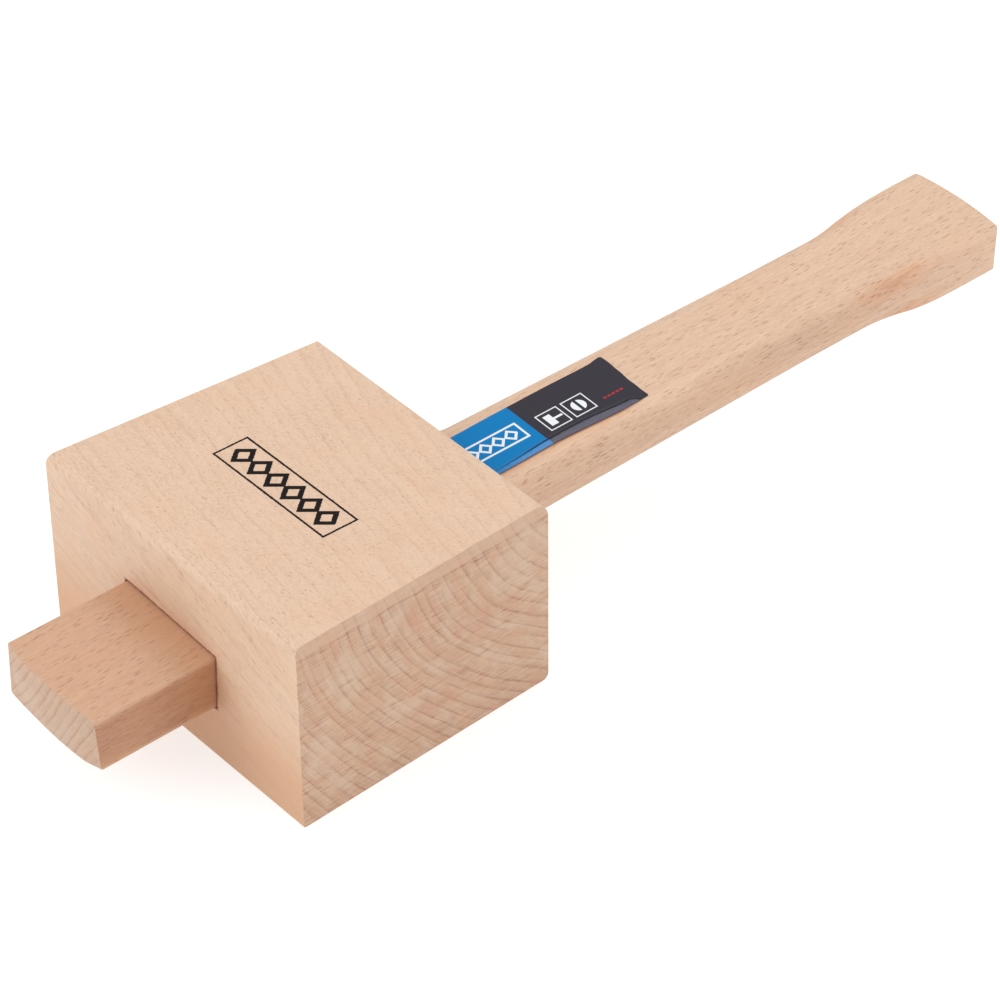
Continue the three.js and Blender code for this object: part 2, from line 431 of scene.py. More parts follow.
def label_piece():
    across, corner_start = LABEL_COLUMNS, LABEL_END - LABEL_CORNER
    ys = [lerp(LABEL_START, corner_start, j / LABEL_ROWS) for j in range(LABEL_ROWS)]
    turns = [math.pi / 2 * i / LABEL_CORNER_STEPS for i in range(LABEL_CORNER_STEPS + 1)]
    ys += [LABEL_END - LABEL_CORNER * (1 - math.sin(turn)) for turn in turns]
    rows = []
    for y in ys:
        left, right = film_edges(y)
        xs = [lerp(left, right, i / across) for i in range(across + 1)]
        rows.append([(x, y - end_skew(x, y), film_height(x, y)) for x in xs])
    count = across + 1
    base = SHAFT_THICKNESS / 2
    upper = [(x, y, base + h) for row in rows for x, y, h in row]
    lower = [(x, y, base + h - FILM_THICKNESS) for row in rows for x, y, h in row]
    faces = []
    for j in range(len(rows) - 1):
        for i in range(across):
            a = j * count + i
            quad = (a, a + 1, a + count + 1, a + count)
            faces.append(quad)
            faces.append(tuple(index + len(upper) for index in reversed(quad)))
    rim = [(0, i) for i in range(across)]
    rim += [(j, across) for j in range(len(rows) - 1)]
    rim += [(len(rows) - 1, i) for i in range(across, 0, -1)]
    rim += [(j, 0) for j in range(len(rows) - 1, 0, -1)]
    loop = [j * count + i for j, i in rim]
    for a, b in zip(loop, loop[1:] + loop[:1]):
        faces.append((a, b, b + len(upper), a + len(upper)))
    label = link("film_label", mesh_from("film_label", upper + lower, faces))
    label.matrix_world = handle_matrix()
    finish_shading(label, 50)
    return label


# ------------------------------------------------------------------ materials

def srgb(red, green, blue):
    def linear(value):
        value /= 255
        return value / 12.92 if value <= 0.04045 else ((value + 0.055) / 1.055) ** 2.4
    return (linear(red), linear(green), linear(blue), 1.0)


class Shader:
    """The nodes of one material. Every call adds a node and gives back its output."""

    def __init__(self, name):
        self.material = bpy.data.materials.new(name)
        self.material.use_nodes = True
        self.tree = self.material.node_tree
        self.surface = self.tree.nodes["Principled BSDF"]
        coordinates = self.tree.nodes.new("ShaderNodeTexCoord")
        self.position = self.vector("SCALE", coordinates.outputs["Object"], scale=1 / MM)

    def plug(self, socket, value):
        if isinstance(value, bpy.types.NodeSocket):
            self.tree.links.new(value, socket)
        else:
            socket.default_value = value

    def math(self, operation, first, second=0.0, addend=0.0, clamp=False):
        node = self.tree.nodes.new("ShaderNodeMath")
        node.operation = operation
        node.use_clamp = clamp
        for socket, value in zip(node.inputs, (first, second, addend)):
            self.plug(socket, value)
        return node.outputs[0]

    def vector(self, operation, first, second=None, scale=None):
        node = self.tree.nodes.new("ShaderNodeVectorMath")
        node.operation = operation
        self.plug(node.inputs[0], first)
        if second is not None:
            self.plug(node.inputs[1], second)
        if scale is not None:
            self.plug(node.inputs["Scale"], scale)
        return node.outputs["Value" if operation in ("DOT_PRODUCT", "LENGTH") else "Vector"]

    def dot(self, direction, point=None):
        return self.vector("DOT_PRODUCT", self.position if point is None else point, direction)

    def shrink(self, size):
        """The position divided by a size in millimetres."""
        return self.vector("SCALE", self.position, scale=1 / size)

    def parts(self):
        node = self.tree.nodes.new("ShaderNodeSeparateXYZ")
        self.plug(node.inputs[0], self.position)
        return node.outputs

    def join(self, x, y, z):
        node = self.tree.nodes.new("ShaderNodeCombineXYZ")
        for socket, value in zip(node.inputs, (x, y, z)):
            self.plug(socket, value)
        return node.outputs[0]

    def noise(self, point, detail=2.0, roughness=0.5):
        node = self.tree.nodes.new("ShaderNodeTexNoise")
        self.plug(node.inputs["Vector"], point)
        node.inputs["Scale"].default_value = 1.0
        node.inputs["Detail"].default_value = detail
        node.inputs["Roughness"].default_value = roughness
        return node.outputs[0]

    def cells(self, point):
        """Distance to the nearest of a scatter of points, and a random number for each point."""
        node = self.tree.nodes.new("ShaderNodeTexVoronoi")
        self.plug(node.inputs["Vector"], point)
        node.inputs["Scale"].default_value = 1.0
        return node.outputs["Distance"], node.outputs["Color"]

    def step(self, value, low, high):
        """0 below low, 1 above high, smooth between; high below low turns it round."""
        node = self.tree.nodes.new("ShaderNodeMapRange")
        node.interpolation_type = "SMOOTHSTEP"
        flipped = high < low
        self.plug(node.inputs["Value"], value)
        node.inputs["From Min"].default_value = min(low, high)
        node.inputs["From Max"].default_value = max(low, high)
        node.inputs["To Min"].default_value = 1.0 if flipped else 0.0
        node.inputs["To Max"].default_value = 0.0 if flipped else 1.0
        return node.outputs["Result"]

    def mix(self, factor, first, second):
        node = self.tree.nodes.new("ShaderNodeMix")
        node.data_type = "RGBA"
        self.plug(node.inputs[0], factor)
        self.plug(node.inputs[6], first)
        self.plug(node.inputs[7], second)
        return node.outputs[2]

    def add(self, *terms):
        total = terms[0]
        for term in terms[1:]:
            total = self.math("ADD", total, term)
        return total

    def stain_and_shade(self, colour, where, strength, stain_and_shade):
        """The colour with this strength of another colour where the mask is 1, for real stains and
        for painted shade.
        """
        return self.mix(self.math("MULTIPLY", where, strength), colour, stain_and_shade)

    def weigh(self, value, weight, centre=0.5):
        """(value - centre) * weight"""
        return self.math("MULTIPLY", self.math("SUBTRACT", value, centre), weight)

    def wander(self, y, start, bends):
        """A line's place at y, as the function wander gives it."""
        steps = [self.math("MULTIPLY", self.step(y, low, high), by) for low, high, by in bends]
        return self.add(start, *steps)

    def bump(self, height, distance_mm):
        node = self.tree.nodes.new("ShaderNodeBump")
        node.inputs["Distance"].default_value = distance_mm * MM
        node.inputs["Strength"].default_value = 1.0
        self.plug(node.inputs["Height"], height)
        self.plug(self.surface.inputs["Normal"], node.outputs[0])


class Timber:
    """Where a point lies in the tree the wood was cut from: along the grain, outwards from the
    pith, and round it, all in millimetres."""

    def __init__(self, shader, pith, grain_slope, side, up, bend=None):
        self.shader = s = shader
        offset = s.vector("SUBTRACT", s.position, pith)
        if bend:
            offset = s.vector("SUBTRACT", offset, self.lift(**bend))
        self.along = s.dot(grain_slope, offset)
        sideways, upwards = s.dot(side, offset), s.dot(up, offset)
        radius = s.vector("LENGTH", s.join(sideways, upwards, 0.0))
        slow = s.noise(s.shrink(42), 1.0)
        self.outward = s.add(radius, s.weigh(slow, 4.0))
        angle = s.math("ARCTAN2", sideways, upwards)
        self.around = s.math("MULTIPLY", angle, Vector(pith).length)

    def lift(self, above, strength, fade):
        """How far the rings are bent: they steepen above a height, less towards +Y."""
        s = self.shader
        _, y, z = s.parts()
        high = s.math("MAXIMUM", s.math("SUBTRACT", z, above), 0.0)
        here = s.math("SUBTRACT", strength, s.math("MULTIPLY", y, fade))
        return s.join(0.0, 0.0, s.math("MULTIPLY", s.math("MULTIPLY", high, high), here))

    def scaled(self, along, around, outward, shift=0.0):
        s = self.shader
        return s.join(
            s.math("ADD", s.math("MULTIPLY", self.along, 1 / along), shift),
            s.math("MULTIPLY", self.around, 1 / around),
            s.math("MULTIPLY", self.outward, 1 / outward),
        )

    def noise(self, along, around, outward, detail=2.0, shift=0.0):
        """Noise with grains of this size in the three directions. Each use has its own shift."""
        return self.shader.noise(self.scaled(along, around, outward, shift), detail)

    def flecks(self, along, around, outward, reach):
        """Separate lens-shaped flecks, one in each cell of this size. reach is the half size of
        the largest as a part of its cell."""
        s = self.shader
        distance, chance = s.cells(self.scaled(along, around, outward, 5.0))
        size = s.math("MULTIPLY", s.step(chance, 0.10, 0.75), reach)
        return s.step(s.math("SUBTRACT", distance, size), 0.0, -0.6 * reach)


@dataclass
class Look:
    """How one cut of the beech looks. Tones add up between pale (0) and dark (1), and sizes are
    along the grain, round the pith and outwards."""

    pale: tuple = srgb(214, 184, 158)
    dark: tuple = srgb(142, 92, 62)
    tone: float = 0.05
    ring_spacing: float = 3.4
    ring_uneven: float = 5.0
    ragged: float = 0.8
    late: float = 0.03
    line: float = 0.08
    fine_rings: float = 0.0
    rays: float = 0.32
    ray_cell: tuple = (3.6, 0.75, 0.95)
    ray_reach: float = 0.36
    stained_rays: float = 0.0
    streaks: float = 0.56
    pores: float = 0.32
    bands: float = 0.20
    patches: float = 0.10
    blush: float = 0.22
    blush_colour: tuple = srgb(213, 165, 130)
    ashen: float = 0.0
    ashen_colour: tuple = srgb(203, 182, 166)
    hue_size: tuple = (26.0, 12.0, 12.0)
    saw: float = 0.0
    roughness: float = 0.55
    relief: float = 0.02


def ring_lines(s, t, look):
    """The year rings: tone that builds up through each ring to a line at its end."""
    uneven = s.weigh(s.noise(s.join(s.math("MULTIPLY", t.outward, 1 / 7), 0.0, 0.0), 1.0),
                     look.ring_uneven)
    ragged = s.weigh(t.noise(9.0, 2.6, 2.6, shift=11.0), look.ragged)
    place = s.math("FRACT", s.math("MULTIPLY", s.add(t.outward, uneven, ragged),
                                   1 / look.ring_spacing))
    ring_end = s.step(place, 1.0, 0.88)
    late = s.math("MULTIPLY", s.step(place, 0.10, 0.90), ring_end)
    line = s.math("MULTIPLY", s.step(place, 0.66, 0.88), ring_end)
    fading = s.step(t.noise(34.0, 16.0, 3.0, shift=23.0), 0.22, 0.60)
    fine = t.noise(200.0, 9.0, 0.55, shift=31.0)
    return s.add(
        s.math("MULTIPLY", late, look.late),
        s.math("MULTIPLY", s.math("MULTIPLY", line, fading), look.line),
        s.weigh(fine, look.fine_rings),
    )


def saw_marks(s):
    """Fine horizontal scores across the end grain, in groups."""
    _, y, z = s.parts()
    stroke = s.join(s.math("MULTIPLY", y, 1 / 8), s.math("MULTIPLY", z, 1 / 0.32), 0.0)
    wanted = s.noise(s.join(s.math("MULTIPLY", y, 1 / 14), s.math("MULTIPLY", z, 1 / 6), 0.0), 1.0)
    return s.math("MULTIPLY", s.weigh(s.noise(stroke, 1.5), 1.0), s.step(wanted, 0.28, 0.58))


# Grain sizes of the wood's noises along the grain, round the pith and outwards.
STREAK_SIZE = (5.5, 0.5, 0.5)
PORE_SIZE = (1.6, 0.22, 0.22)
BAND_SIZE = (70.0, 5.0, 4.0)
CROWDING_SIZE = (24.0, 9.0, 9.0)
PATCH_SIZE = 26
STAINED_RAY_COLOUR = srgb(126, 74, 48)


def wood(name, timber, look, more_tone=None, overlay=None):
    """One cut of the beech. more_tone(s) adds to the tone, overlay(s, colour) paints over it."""
    s = Shader(name)
    t = Timber(s, **timber)
    rings = ring_lines(s, t, look)
    rays = t.flecks(*look.ray_cell, look.ray_reach)
    crowding = s.step(t.noise(*CROWDING_SIZE, shift=57.0), 0.10, 0.55)
    rays = s.math("MULTIPLY", rays, crowding)
    streaks = t.noise(*STREAK_SIZE, shift=40.0)
    pores = t.noise(*PORE_SIZE, detail=1.0, shift=71.0)
    bands = t.noise(*BAND_SIZE, shift=80.0)
    patches = s.noise(s.shrink(PATCH_SIZE), 1.5)
    tone = s.add(
        look.tone,
        rings,
        s.math("MULTIPLY", rays, look.rays),
        s.weigh(streaks, look.streaks),
        s.weigh(pores, look.pores),
        s.weigh(bands, look.bands),
        s.weigh(patches, look.patches),
    )
    relief = s.add(s.weigh(streaks, 1.0), s.math("MULTIPLY", rays, -0.5))
    if look.saw:
        saw = saw_marks(s)
        tone = s.add(tone, s.math("MULTIPLY", saw, look.saw))
        relief = s.add(relief, s.math("MULTIPLY", saw, 2.0))
    if more_tone:
        tone = s.add(tone, more_tone(s))
    tone = s.math("ADD", tone, 0.0, clamp=True)
    colour = s.mix(tone, look.pale, look.dark)
    hue = t.noise(*look.hue_size, detail=2.0, shift=3.0)
    colour = s.mix(s.math("MULTIPLY", s.step(hue, 0.46, 0.70), look.blush),
                   colour, look.blush_colour)
    if look.ashen:
        colour = s.mix(s.math("MULTIPLY", s.step(hue, 0.52, 0.30), look.ashen),
                       colour, look.ashen_colour)
    if overlay:
        colour = overlay(s, colour)
    if look.stained_rays:
        colour = s.stain_and_shade(colour, rays, look.stained_rays, STAINED_RAY_COLOUR)
    s.plug(s.surface.inputs["Base Color"], colour)
    roughness = s.add(look.roughness, s.weigh(streaks, 0.16), s.math("MULTIPLY", rays, -0.05))
    s.plug(s.surface.inputs["Roughness"], roughness)
    s.bump(relief, look.relief)
    return s


HEAD_TIMBER = {
    "pith": (0.0, 110.0, 130.0),
    "grain_slope": (1.0, 0.0, -0.3),
    "side": (0.0, 1.0, 0.0),
    "up": (0.3, 0.0, 1.0),
    "bend": {"above": 31.0, "strength": 0.0075, "fade": 0.00006},
}
HANDLE_TIMBER = {
    "pith": (74.0, 0.0, 95.0),
    "grain_slope": (0.0, 1.0, 0.01),
    "side": (1.0, 0.02, 0.0),
    "up": (0.0, 0.0, 1.0),
}
HANDLE_END_TIMBER = {**HANDLE_TIMBER, "pith": (-99.0, 0.0, 68.0)}
HEAD_SIDE = Look()
HEAD_END = Look(
    pale=srgb(193, 160, 132),
    dark=srgb(134, 74, 53),
    tone=0.10,
    ring_spacing=3.2,
    ragged=0.6,
    late=0.10,
    line=0.29,
    fine_rings=0.50,
    rays=-0.10,
    ray_cell=(3.0, 0.9, 8.0),
    streaks=0.35,
    pores=0.78,
    bands=0.1,
    patches=0.15,
    blush=0.32,
    blush_colour=srgb(190, 138, 108),
    ashen=0.28,
    ashen_colour=srgb(203, 180, 160),
    hue_size=(90.0, 12.0, 4.5),
    saw=2.0,
)
HANDLE_SIDE = Look(
    pale=srgb(213, 181, 154),
    tone=0.08,
    line=0.06,
    rays=0.36,
    stained_rays=0.36,
    ray_cell=(4.2, 0.54, 0.60),
    ray_reach=0.38,
    streaks=0.50,
    pores=0.40,
)
HANDLE_END = Look(
    pale=srgb(188, 158, 134),
    ring_spacing=2.7,
    ring_uneven=2.5,
    late=0.12,
    line=0.30,
    fine_rings=0.5,
    rays=0.30,
    ray_cell=(3.0, 0.8, 10.0),
    streaks=0.25,
    ashen=0.25,
    blush=0.20,
)


# ---- printed marks: distances to plain shapes, in millimetres

EDGE_BLUR = 0.06


def box_distance(s, u, v, centre, half_size):
    du = s.math("SUBTRACT", s.math("ABSOLUTE", s.math("SUBTRACT", u, centre[0])), half_size[0])
    dv = s.math("SUBTRACT", s.math("ABSOLUTE", s.math("SUBTRACT", v, centre[1])), half_size[1])
    return s.math("MAXIMUM", du, dv)


def inside(s, distance):
    return s.step(distance, EDGE_BLUR, -EDGE_BLUR)


def outline(s, distance, width):
    return inside(s, s.math("SUBTRACT", s.math("ABSOLUTE", distance), width / 2))


def lozenge_row(s, u, v, centre, count, pitch, half_size, stroke):
    """A row of count lozenge outlines along u."""
    shifted = s.math("ADD", s.math("SUBTRACT", u, centre[0]), pitch * count / 2)
    local = s.math("SUBTRACT", s.math("FLOORED_MODULO", shifted, pitch), pitch / 2)
    across = s.math("MULTIPLY", s.math("ABSOLUTE", local), 1 / half_size[0])
    upward = s.math("ABSOLUTE", s.math("SUBTRACT", v, centre[1]))
    upward = s.math("MULTIPLY", upward, 1 / half_size[1])
    scale = half_size[0] * half_size[1] / math.hypot(*half_size)
    distance = s.math("MULTIPLY", s.math("SUBTRACT", s.math("ADD", across, upward), 1.0), scale)
    row = box_distance(s, u, v, centre, (pitch * count / 2, half_size[1] + 1))
    return s.math("MULTIPLY", outline(s, distance, stroke), inside(s, row))


STAMP_CENTRE = (-1.6, -4.0)
STAMP_HALF_SIZE = (23.8, 5.65)
STAMP_LINE = 0.68
STAMP_LOZENGES = {"count": 6, "pitch": 7.2, "half_size": (2.9, 3.4), "stroke": 1.5}


def stamp_ink(s):
    """A plain ink stamp on the upper cheek: a rectangle round a row of lozenges."""
    x, y, z = s.parts()
    bleed = s.weigh(s.noise(s.shrink(0.5), 1.0), 0.3)
    u, v = s.math("ADD", x, bleed), s.math("ADD", y, bleed)
    frame_line = outline(s, box_distance(s, u, v, STAMP_CENTRE, STAMP_HALF_SIZE), STAMP_LINE)
    lozenges = lozenge_row(s, u, v, STAMP_CENTRE, **STAMP_LOZENGES)
    on_top = s.step(z, HEAD_THICKNESS - 1, HEAD_THICKNESS - 0.5)
    return s.math("MULTIPLY", s.math("MAXIMUM", frame_line, lozenges), on_top)


def mouth_distance(s):
    """How far a point lies outside the mortise, looking along the handle."""
    from_middle = s.vector("SUBTRACT", s.position, HANDLE_OFFSET)
    turn = HANDLE_TURN.to_matrix()
    across, upward = s.dot(turn.col[0], from_middle), s.dot(turn.col[2], from_middle)
    y = -HEAD_HALF_WIDTH
    half_size = (handle_width(y) / 2 + MORTISE_GAP, handle_thickness(y) / 2 + MORTISE_GAP)
    return box_distance(s, across, upward, (0, 0), half_size)


# Colours of painted shade and bounced light on the head: round the mortise, low on the outer face
# and at its lips; and the stamp's ink.
MOUTH_SHADE_BROWN = srgb(204, 142, 102)
LOW_SHADE_BROWN = srgb(197, 150, 113)
LIP_SHADE_BROWN = srgb(124, 54, 22)
INK = srgb(20, 12, 12)
LIP_SHADE_WIDTH = (0.75, 0.20)                  # painted shade at the mouth from the first distance, full at the second
MOUTH_SHADE_WIDTH = (7.5, -1.0)
LOW_SHADE_HEIGHTS = (40.0, 8.0)


def head_overlay(s, colour):
    """The stamp, painted shade with bounced brown light low on the outer face and round its
    mortise, and painted shade at the mortise's lips.
    """
    _, y, z = s.parts()
    on_face = s.step(y, 0.6 - HEAD_HALF_WIDTH, 0.2 - HEAD_HALF_WIDTH)
    # Painted shade and bounced orange light round the mortise on the outer face.
    from_mouth = s.add(mouth_distance(s), s.weigh(s.noise(s.shrink(5), 2.0), 7.0))
    mouth_shade = s.math("MULTIPLY", s.step(from_mouth, *MOUTH_SHADE_WIDTH), on_face)
    colour = s.stain_and_shade(colour, mouth_shade, 0.30, MOUTH_SHADE_BROWN)
    # Painted shade and bounced light: browner towards the bottom of the outer face.
    low = s.math("MULTIPLY", s.step(z, *LOW_SHADE_HEIGHTS), on_face)
    colour = s.stain_and_shade(colour, low, 0.78, LOW_SHADE_BROWN)
    # Painted shade: a dark reddish band round the mortise's mouth on both faces, standing in for
    # the gap's shadow.
    lip_shade = s.add(mouth_distance(s), s.weigh(s.noise(s.shrink(1.6), 2.0), 1.0))
    on_either_face = s.step(s.math("ABSOLUTE", y), HEAD_HALF_WIDTH - 2.0, HEAD_HALF_WIDTH - 0.5)
    lip_shade = s.math("MULTIPLY", s.step(lip_shade, *LIP_SHADE_WIDTH), on_either_face)
    colour = s.stain_and_shade(colour, lip_shade, 0.85, LIP_SHADE_BROWN)
    ink = stamp_ink(s)
    s.plug(s.surface.inputs["Specular IOR Level"], s.math("MULTIPLY_ADD", ink, -0.4, addend=0.5))
    return s.mix(ink, colour, INK)


BEVEL_FOOT = HEAD_THICKNESS - FACE_BEVEL_DOWN
BEVEL_COLOUR = srgb(198, 164, 140)


def head_end_tone(s):
    """The bevel along the striking face's upper edge, a darker line under it, and painted shade
    darkening the foot.
    """
    _, y, z = s.parts()
    uneven = s.weigh(s.noise(s.join(s.math("MULTIPLY", y, 1 / 9), 0.0, 0.0), 2.0), 0.6)
    above_foot = s.math("SUBTRACT", s.add(z, uneven), BEVEL_FOOT)
    band = s.step(above_foot, -0.1, 0.5)
    under = s.math("MULTIPLY", s.step(above_foot, -1.6, -0.2), s.step(above_foot, 0.3, -0.1))
    # Painted shade: darker towards the bottom of the striking face.
    foot_shade = s.step(z, 12.0, 0.0)
    return s.add(s.math("MULTIPLY", band, -0.08), s.math("MULTIPLY", under, 0.16),
                 s.math("MULTIPLY", foot_shade, 0.08))


# Patches of the end grain: where each lies along Y and Z, and how far it reaches.
ASHEN_PATCHES = [(-27, 43, 8, 6), (-8, 20, 6, 3), (-36, 21, 5, 9), (34, 47, 11, 8)]
REDDISH_PATCHES = [(18, 36, 10, 5), (2, 15, 12, 4), (-39, 49, 4, 7), (-2, 49, 7, 4)]
END_PATCHES = [
    (ASHEN_PATCHES, 0.28, srgb(203, 181, 162)),
    (REDDISH_PATCHES, 0.24, srgb(184, 128, 102)),
]


def head_end_overlay(s, colour):
    """Ashen and reddish patches, and a planed bevel whose rings show less."""
    _, y, z = s.parts()
    ragged = s.weigh(s.noise(s.shrink(4), 2.0), 1.4)
    for patches, strength, shade in END_PATCHES:
        for at_y, at_z, half_y, half_z in patches:
            point = s.join(s.weigh(y, 1 / half_y, at_y), s.weigh(z, 1 / half_z, at_z), 0.0)
            reach = s.add(s.vector("LENGTH", point), ragged)
            colour = s.mix(s.math("MULTIPLY", s.step(reach, 1.4, 0.3), strength), colour, shade)
    band = s.step(z, BEVEL_FOOT - 0.2, BEVEL_FOOT + 0.4)
    return s.stain_and_shade(colour, band, 0.5, BEVEL_COLOUR)


STUB_SHADE_FADE = (44.0, -50.0)                 # the stub's painted shade comes in between these places along Y
STUB_SHADE_BROWN = srgb(190, 136, 99)
NEAR_HEAD_RISE = (-58.0, -44.0)           # painted shade and bounced colour: a browner band of the stub next to the head
NEAR_HEAD_FALL = (0.0, -40.0)
NEAR_HEAD_SHADE_BROWN = srgb(200, 134, 88)
# Painted shade, darker reddish brown, where the edge rounding runs out.
SCOOP_SHADE_CENTRE = (207.0, 15.8, 6.0)        # along Y, across X and up Z, on all four edges
SCOOP_SHADE_SIZE = (20, 4, 4.5)
SCOOP_SHADES = [((1.15, 0.3), 0.50, srgb(202, 146, 110)), ((0.50, 0.0), 0.35, srgb(158, 98, 66))]
# Painted shadow on the wood beside the label's near edge: reach, strength and colour.
LABEL_SHADOWS = [(3.6, 0.42, srgb(200, 140, 98)), (1.0, 0.75, srgb(122, 70, 52))]


def handle_tone(s):
    """Painted shade: the stub, in the head's shade, is darker than the shaft, above all on its
    sides, and so are the shaft's sides.
    """
    _, y, z = s.parts()
    height = s.math("ABSOLUTE", z)
    side = s.step(height, 8.4, 7.4)
    # Painted shade: the stub darker, its sides darker still, and the shaft's sides darker.
    stub = s.step(y, *STUB_SHADE_FADE)
    shaft_side_shade = s.math("MULTIPLY", s.step(height, 7.9, 5.0), s.step(y, 280.0, 180.0))
    return s.add(
        s.math("MULTIPLY", stub, 0.13),
        s.math("MULTIPLY", s.math("MULTIPLY", stub, side), 0.42),
        s.math("MULTIPLY", shaft_side_shade, 0.18),
    )


def handle_overlay(s, colour):
    """Painted shade and shadow: a browner stub, a darker reddish brown where the edge rounding runs
    out, and a shadow on the wood beside the label.
    """
    x, y, z = s.parts()
    # Painted shade: the stub browner.
    stub = s.step(y, *STUB_SHADE_FADE)
    colour = s.stain_and_shade(colour, stub, 0.38, STUB_SHADE_BROWN)
    # Painted shade and bounced colour on the stub next to the head.
    near_head_shade = s.math("MULTIPLY", s.step(y, *NEAR_HEAD_RISE), s.step(y, *NEAR_HEAD_FALL))
    colour = s.stain_and_shade(colour, near_head_shade, 0.30, NEAR_HEAD_SHADE_BROWN)
    # Painted shade where the edge rounding runs out, darker reddish brown.
    streaky = s.noise(s.join(s.math("MULTIPLY", x, 1 / 0.9), s.math("MULTIPLY", y, 1 / 7),
                             s.math("MULTIPLY", z, 1 / 0.9)), 3.0)
    places = (y, s.math("ABSOLUTE", x), s.math("ABSOLUTE", z))
    point = s.join(*(s.weigh(place, 1 / size, centre)
                     for place, size, centre in zip(places, SCOOP_SHADE_SIZE, SCOOP_SHADE_CENTRE)))
    from_scoop_shade = s.add(s.vector("LENGTH", point), s.weigh(streaky, 1.6))
    for edge, strength, scoop_shade_colour in SCOOP_SHADES:
        colour = s.mix(s.math("MULTIPLY", s.step(from_scoop_shade, *edge), strength), colour, scoop_shade_colour)
    # Painted shadow on the wood beside the label's near edge.
    past_edge = s.math("SUBTRACT", x, s.wander(y, *NEAR_EDGE_LINE))
    for reach, strength, stain_and_shade in LABEL_SHADOWS:
        beside_shadow = s.math("MULTIPLY", s.step(past_edge, reach, 0.1), s.step(past_edge, -0.6, 0.0))
        beside_shadow = s.math("MULTIPLY", beside_shadow, s.step(y, LABEL_END - 1, LABEL_END - 12))
        beside_shadow = s.math("MULTIPLY", beside_shadow, s.step(y, 46.0, 54.0))
        beside_shadow = s.math("MULTIPLY", beside_shadow, s.step(z, 4.0, 6.0))
        colour = s.stain_and_shade(colour, beside_shadow, strength, stain_and_shade)
    return colour


# The film's print, in the handle's frame: places are (y, x).
FILM_BLUE, FILM_BLACK = srgb(0, 116, 179), srgb(51, 48, 56)
FILM_WHITE, FILM_RED = srgb(222, 226, 230), srgb(168, 44, 50)
STRIP_SHEEN, CREASE_SHADE = srgb(150, 152, 186), srgb(6, 8, 16)
BLUE_TO_BLACK = (80.3, 80.5)
BLUE_MARK_CENTRE = (62.2, -0.65)
BLUE_MARK_HALF_SIZE = (15.3, 3.35)
BLUE_MARK_LINE = 0.7
BLUE_LOZENGES = {"count": 6, "pitch": 4.6, "half_size": (1.9, 2.0), "stroke": 0.8}
SQUARE_CENTRES = [(87.45, 1.36), (96.65, 1.36)]
SQUARE_HALF_SIZE = (3.7, 3.65)
SQUARE_LINE = 0.38
MALLET_HEAD = ((86.4, 1.36), (1.2, 2.3))  # centre and half size
MALLET_GRIP = ((88.4, 1.36), (2.2, 0.4))
DISC_RADIUS = 2.3
DISC_BAND_HALF_SIZE = (0.5, 3.0)
DASHES = ((107.4, 3.6), (3.6, 0.36))
DASH_PITCH = 1.5


def film():
    """The label's print: a blue field, a black field, and plain white and red marks."""
    s = Shader("printed_film")
    x, y, _ = s.parts()
    colour = s.mix(s.step(y, *BLUE_TO_BLACK), FILM_BLUE, FILM_BLACK)
    frame = box_distance(s, y, x, BLUE_MARK_CENTRE, BLUE_MARK_HALF_SIZE)
    lozenges = lozenge_row(s, y, x, BLUE_MARK_CENTRE, **BLUE_LOZENGES)
    whites = s.math("MAXIMUM", outline(s, frame, BLUE_MARK_LINE), lozenges)
    for centre in SQUARE_CENTRES:
        square = outline(s, box_distance(s, y, x, centre, SQUARE_HALF_SIZE), SQUARE_LINE)
        whites = s.math("MAXIMUM", whites, square)
    mallet_head = inside(s, box_distance(s, y, x, *MALLET_HEAD))
    mallet_grip = inside(s, box_distance(s, y, x, *MALLET_GRIP))
    disc_y, disc_x = SQUARE_CENTRES[1]
    disc_point = s.join(s.math("SUBTRACT", y, disc_y), s.math("SUBTRACT", x, disc_x), 0.0)
    disc = inside(s, s.math("SUBTRACT", s.vector("LENGTH", disc_point), DISC_RADIUS))
    disc_band = inside(s, box_distance(s, y, x, SQUARE_CENTRES[1], DISC_BAND_HALF_SIZE))
    disc = s.math("MULTIPLY", disc, s.math("SUBTRACT", 1.0, disc_band))
    for shape in (mallet_head, mallet_grip, disc):
        whites = s.math("MAXIMUM", whites, shape)
    colour = s.mix(whites, colour, FILM_WHITE)
    red_line = inside(s, box_distance(s, y, x, *DASHES))
    dashes = s.step(s.math("FRACT", s.math("MULTIPLY", y, 1 / DASH_PITCH)), 0.25, 0.35)
    colour = s.stain_and_shade(colour, red_line, dashes, FILM_RED)
    past_ridge = s.math("SUBTRACT", x, s.wander(y, *CREASE_LINE))
    strip = s.step(past_ridge, 0.0, 0.9)
    colour = s.stain_and_shade(colour, strip, 0.13, STRIP_SHEEN)
    crease = s.math("MULTIPLY", s.step(past_ridge, -0.75, -0.35), s.step(past_ridge, 0.35, 0.0))
    crease_strength = s.math("MULTIPLY", crease, s.wander(y, 0.35, [(60, 82, 0.6)]))
    colour = s.mix(crease_strength, colour, CREASE_SHADE)
    s.plug(s.surface.inputs["Base Color"], colour)
    s.surface.inputs["Roughness"].default_value = 0.2
    s.surface.inputs["Specular IOR Level"].default_value = 0.12
    s.bump(s.weigh(s.noise(s.shrink(7), 1.0), 1.0), 0.08)
    return s


def mortise_wall():
    """Raw wood inside the mortise, painted dark reddish brown as painted shade in the gap round the
    handle.
    """
    s = Shader("mortise_wall")
    s.plug(s.surface.inputs["Base Color"],
           s.mix(s.noise(s.shrink(1.5), 2.0), srgb(146, 72, 32), srgb(98, 44, 18)))
    s.surface.inputs["Roughness"].default_value = 0.8
    s.surface.inputs["Specular IOR Level"].default_value = 0.2
    return s


END_GRAIN_FROM = 0.8                      # part of the normal that lies along the grain
WALL_REACH = 1.0                          # a mortise wall is at most this far from the handle


